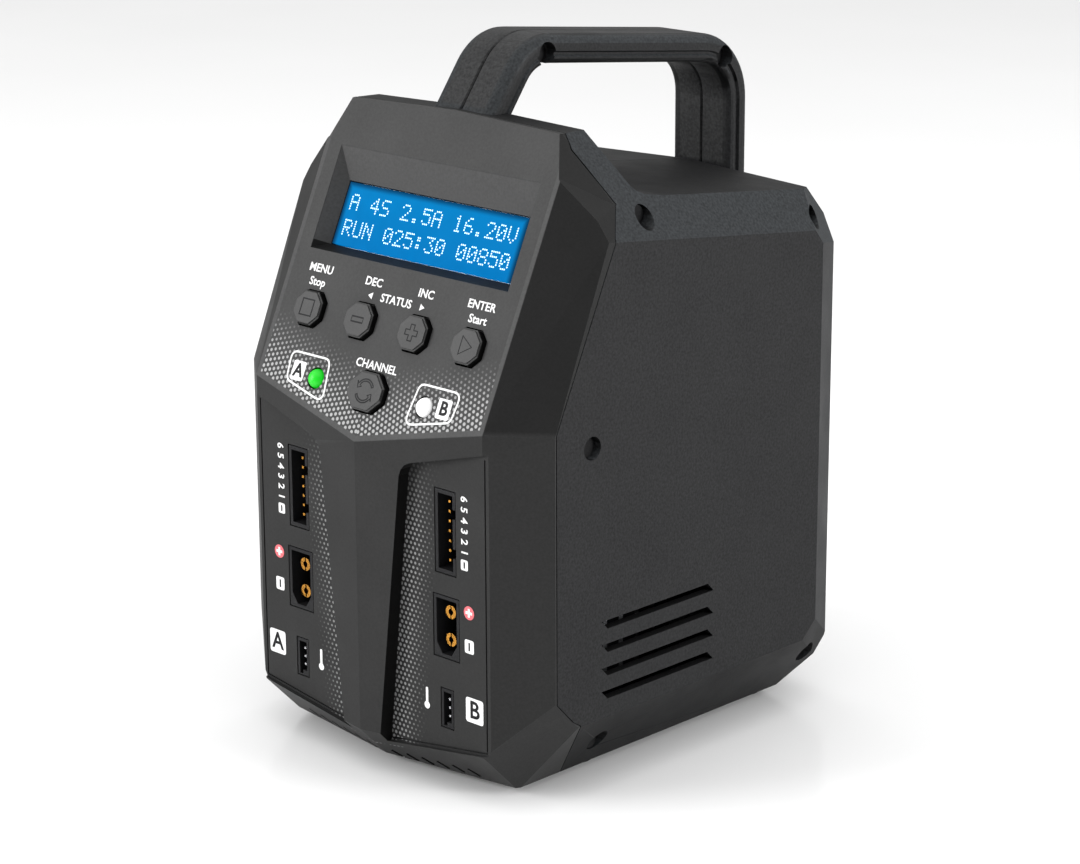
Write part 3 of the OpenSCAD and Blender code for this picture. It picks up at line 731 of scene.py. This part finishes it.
def print_port_panels():
    for side, letter in ((-1, "A"), (1, "B")):
        for number in range(1, PIN_NUMBERS + 1):
            z = PIN_ONE_Z + PIN_MARK_STEP * (number - 1)
            upright = port_matrix(side * PIN_MARK_X, z, WORD_LIFT)
            lying = upright @ Matrix.Rotation(-math.pi / 2, 4, "Z")
            word(f"pin_{number}_{letter}", str(number), PIN_NUMBER_HEIGHT, lying, "white_print", bold=0.06)
        minus_sign("pin_minus", letter, side * PIN_MARK_X, PIN_MINUS_Z, (2.4, 2.7), 0.5, (0.45, 1.6))
        plate(f"plus_disc_{letter}", circle(1.75), port_matrix(side * POLE_X, PLUS_Z, PRINT_LIFT),
              "red_print")
        plate(f"plus_sign_{letter}", cross_outline(1.1, 0.35),
              port_matrix(side * POLE_X, PLUS_Z, OVERPRINT_LIFT), "white_print")
        minus_sign("minus", letter, side * POLE_X, MINUS_Z, (3.1, 3.5), 0.6, (0.5, 2.1))
        x = side * PORT_LETTER_X
        letter_box = rounded(rectangle(6.0, 6.4), 0.8)
        plate(f"port_letter_box_{letter}", letter_box, port_matrix(x, PORT_LETTER_Z, PRINT_LIFT),
              "white_print")
        word(f"port_letter_{letter}", letter, PORT_LETTER_HEIGHT,
             port_matrix(x, PORT_LETTER_Z, LETTER_LIFT), "dark_print", bold=0.12)
        x = side * THERMOMETER_X
        stem = rounded([(-0.4, 0.0), (0.4, 0.0), (0.4, 4.6), (-0.4, 4.6)], 0.3)
        plate(f"thermometer_stem_{letter}", stem, port_matrix(x, THERMOMETER_Z, PRINT_LIFT), "white_print")
        plate(f"thermometer_bulb_{letter}", circle(0.95),
              port_matrix(x, THERMOMETER_Z - 0.1, PRINT_LIFT + 0.01), "white_print")


# ---- button signs, as thin dark lines on the faces ----

OUTER_BUTTON_X = 28.2
INNER_BUTTON_X = 9.65
BUTTON_ROW_T = 19.5
CHANNEL_BUTTON_T = 2.9
SIGN_LIFT = BUTTON_FACE + 0.005
SIGN_THICKNESS = 0.03


def button_sign(name, button, x, t, outlines, width):
    """Outlines that ride a button; the second and later ones get a number in their name."""
    for index, points in enumerate(outlines):
        matrix = panel_matrix(x, t, SIGN_LIFT)
        loop(f"{name}_{index}" if index else name, points, width, matrix, "dark_print",
             SIGN_THICKNESS, button)


def circular_arrow(turn):
    """Outline of a bent arrow that covers a little under half a turn."""
    outer, inner, tip = 3.15, 2.25, 0.75
    start, end = math.radians(25), math.radians(145)
    steps = 12
    angles = [start + (end - start) * i / steps for i in range(steps + 1)]
    points = [(outer * math.cos(a), outer * math.sin(a)) for a in angles]
    points.append(((outer + tip) * math.cos(end), (outer + tip) * math.sin(end)))
    middle = (outer + inner) / 2
    points.append((middle * math.cos(end + 0.5), middle * math.sin(end + 0.5)))
    points.append(((inner - tip) * math.cos(end), (inner - tip) * math.sin(end)))
    points += [(inner * math.cos(a), inner * math.sin(a)) for a in reversed(angles)]
    c, s = math.cos(turn), math.sin(turn)
    return [(c * x - s * y, s * x + c * y) for x, y in points]


def mark_buttons():
    t = BUTTON_ROW_T
    square = rectangle(4.5, 4.5)
    bar = rectangle(4.2, 1.7)
    triangle = [(-1.6, -2.5), (2.5, 0.0), (-1.6, 2.5)]
    arrows = [circular_arrow(0.0), circular_arrow(math.pi)]
    button_sign("sign_stop", "stop_button", -OUTER_BUTTON_X, t, [square], 0.5)
    button_sign("sign_dec", "dec_button", -INNER_BUTTON_X, t, [bar], 0.42)
    button_sign("sign_inc", "inc_button", INNER_BUTTON_X, t, [cross_outline(2.2, 0.8)], 0.4)
    button_sign("sign_start", "start_button", OUTER_BUTTON_X, t, [triangle], 0.45)
    button_sign("sign_channel", "channel_button", 0.0, CHANNEL_BUTTON_T, arrows, 0.34)


# ---- display characters: five by seven dots each ----

GLYPH_COLUMNS = 5
GLYPH_ROWS = 7
GLYPHS = {
    "A": ("01110", "10001", "10001", "11111", "10001", "10001", "10001"),
    "S": ("01111", "10000", "10000", "01110", "00001", "00001", "11110"),
    "V": ("10001", "10001", "10001", "10001", "10001", "01010", "00100"),
    "R": ("11110", "10001", "10001", "11110", "10100", "10010", "10001"),
    "U": ("10001", "10001", "10001", "10001", "10001", "10001", "01110"),
    "N": ("10001", "11001", "10101", "10101", "10011", "10001", "10001"),
    "0": ("01110", "10001", "10011", "10101", "11001", "10001", "01110"),
    "1": ("00100", "01100", "00100", "00100", "00100", "00100", "01110"),
    "2": ("01110", "10001", "00001", "00010", "00100", "01000", "11111"),
    "3": ("11111", "00010", "00100", "00010", "00001", "10001", "01110"),
    "4": ("00010", "00110", "01010", "10010", "11111", "00010", "00010"),
    "5": ("11111", "10000", "11110", "00001", "00001", "10001", "01110"),
    "6": ("00110", "01000", "10000", "11110", "10001", "10001", "01110"),
    "8": ("01110", "10001", "10001", "01110", "10001", "10001", "01110"),
    ".": ("00000", "00000", "00000", "00000", "00000", "01100", "01100"),
    ":": ("00000", "01100", "01100", "00000", "01100", "01100", "00000"),
    " ": ("00000", "00000", "00000", "00000", "00000", "00000", "00000"),
}
# text of each line and the height of its middle
SCREEN_LINES = (("A 4S 2.5A 16.20V", 48.6), ("RUN 025:30 00850", 41.9))
CHARACTER_PITCH = 3.72
DOT_STEP = 0.62
DOT_SIZE = 0.38
DOT_THICKNESS = 0.03
DOTS_LIFT = GLASS_FACE + 0.01


def lit_places():
    """Centre of every lit dot, along and up the control panel."""
    for text, middle in SCREEN_LINES:
        for column, character in enumerate(text):
            from_middle = column - (len(text) - 1) / 2
            left = from_middle * CHARACTER_PITCH - (GLYPH_COLUMNS - 1) / 2 * DOT_STEP
            top = middle + (GLYPH_ROWS - 1) / 2 * DOT_STEP
            for row, bits in enumerate(GLYPHS[character]):
                for place, bit in enumerate(bits):
                    if bit == "1":
                        yield left + place * DOT_STEP, top - row * DOT_STEP


def screen_characters():
    """All lit dots of the display as one piece, just in front of the glass."""
    vertices, faces = [], []
    for x, t in lit_places():
        dot = [(x + DOT_SIZE * dx, t + DOT_SIZE * dt) for dx, dt in rectangle(1, 1)]
        new_vertices, new_faces = solid_outline(dot, 0.0, DOT_THICKNESS)
        faces += [[index + len(vertices) for index in face] for face in new_faces]
        vertices += new_vertices
    add_mesh("screen_characters", vertices, faces, panel_matrix(0, 0, DOTS_LIFT), "screen_dots")


# ---- floor, light and camera ----

FLOOR_REACH = 6.0


def add_floor():
    mesh = bpy.data.meshes.new("floor")
    corners = [(x * FLOOR_REACH, y * FLOOR_REACH, 0) for x, y in ((-1, -1), (1, -1), (1, 1), (-1, 1))]
    mesh.from_pydata(corners, [], [(0, 1, 2, 3)])
    floor = bpy.data.objects.new("floor", mesh)
    bpy.context.scene.collection.objects.link(floor)
    graph = Graph("floor")
    color = graph.mix(graph.noise(3.0), grey(0.93), grey(0.95))
    graph.plug(color, graph.surface.inputs["Base Color"])
    graph.plug(graph.varied(4.0, 0.14, 0.18), graph.surface.inputs["Roughness"])
    mesh.materials.append(graph.material)


MIDDLE_OF_CASE = (0, 0, 0.08)
UNDER_OVERHEAD = (-0.6, 0.8, 0)
# name, place and width in metres, power in watts, and what it points at
SOFTBOXES = (
    ("overhead", (-0.6, 0.8, 2.2), 6.0, 142.0, UNDER_OVERHEAD),
    ("key_front_left", (-1.1, -1.5, 0.65), 0.9, 33.0, MIDDLE_OF_CASE),
    ("side_right", (1.5, 0.55, 0.42), 0.6, 24.0, MIDDLE_OF_CASE),
)
WORLD_LIGHT = 0.30


def add_softbox(name, place, width, power, target):
    data = bpy.data.lights.new(name, "AREA")
    data.shape = "RECTANGLE"
    data.size = width
    data.size_y = width
    data.energy = power
    light = bpy.data.objects.new(name, data)
    bpy.context.scene.collection.objects.link(light)
    light.location = place
    light.rotation_euler = (Vector(target) - Vector(place)).to_track_quat("-Z", "Y").to_euler()


def add_light():
    world = bpy.data.worlds.new("studio")
    world.use_nodes = True
    background = world.node_tree.nodes["Background"]
    background.inputs[0].default_value = grey(1.0)
    background.inputs[1].default_value = WORLD_LIGHT
    bpy.context.scene.world = world
    for softbox in SOFTBOXES:
        add_softbox(*softbox)


CAMERA_AZIMUTH = math.radians(44.137)
CAMERA_ELEVATION = math.radians(16.273)
CAMERA_ROLL = math.radians(-0.249)
CAMERA_LENS = 103.955
SENSOR_WIDTH = 36.0
# millimetres to the right of, above and away from the target, which is in metres
CAMERA_RIGHT = 17.334
CAMERA_UP = 71.73
CAMERA_BACK = 814.59
CAMERA_TARGET = Vector((0, -0.02758, 0.00586))


def add_camera():
    back = Vector((math.sin(CAMERA_AZIMUTH) * math.cos(CAMERA_ELEVATION),
                   -math.cos(CAMERA_AZIMUTH) * math.cos(CAMERA_ELEVATION), math.sin(CAMERA_ELEVATION)))
    level = Vector((math.cos(CAMERA_AZIMUTH), math.sin(CAMERA_AZIMUTH), 0))
    upright = back.cross(level)
    right = level * math.cos(CAMERA_ROLL) + upright * math.sin(CAMERA_ROLL)
    up = upright * math.cos(CAMERA_ROLL) - level * math.sin(CAMERA_ROLL)
    data = bpy.data.cameras.new("camera")
    data.lens = CAMERA_LENS
    data.sensor_width = SENSOR_WIDTH
    data.sensor_fit = "HORIZONTAL"
    camera = bpy.data.objects.new("camera", data)
    bpy.context.scene.collection.objects.link(camera)
    place = (right * CAMERA_RIGHT + up * CAMERA_UP + back * CAMERA_BACK) * MM + CAMERA_TARGET
    camera.matrix_world = Matrix.Translation(place) @ Matrix((right, up, back)).transposed().to_4x4()
    bpy.context.scene.camera = camera


dress_cad_nodes()
print_control_panel()
print_port_panels()
mark_buttons()
screen_characters()
add_floor()
add_light()
add_camera()
bpy.context.scene.view_settings.view_transform = "Standard"
